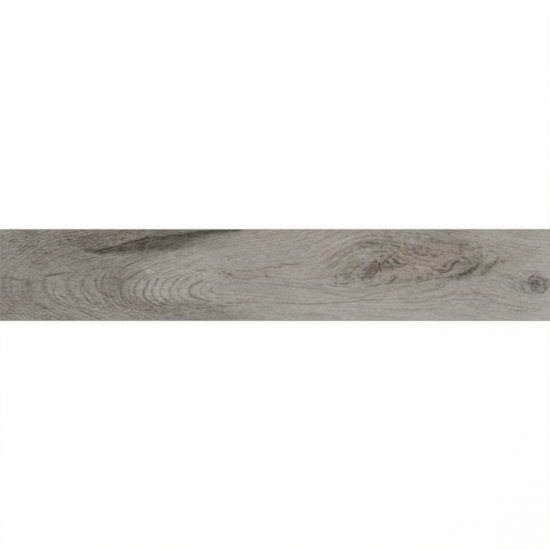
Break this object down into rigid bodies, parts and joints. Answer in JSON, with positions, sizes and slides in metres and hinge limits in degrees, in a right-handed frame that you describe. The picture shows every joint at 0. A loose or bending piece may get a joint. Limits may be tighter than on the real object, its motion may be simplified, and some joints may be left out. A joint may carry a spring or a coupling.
{
  "type": "wood look porcelain plank tile",
  "caption": "Long rectangular porcelain floor and wall tile with an embossed grey oak look face, ground bevelled edges and a keying grid pressed into the back.",
  "frame": {"origin": "centre of the back, in the plane of the ribs that the tile lies on", "axes": "+X along the length, +Y across the width, +Z out of the decorated face"},
  "size_m": [1.2, 0.2, 0.009],
  "materials": {
    "porcelain": "matte"
  },
  "bodies": {
    "root": {"plank_tile": "porcelain"}
  },
  "joints": []
}
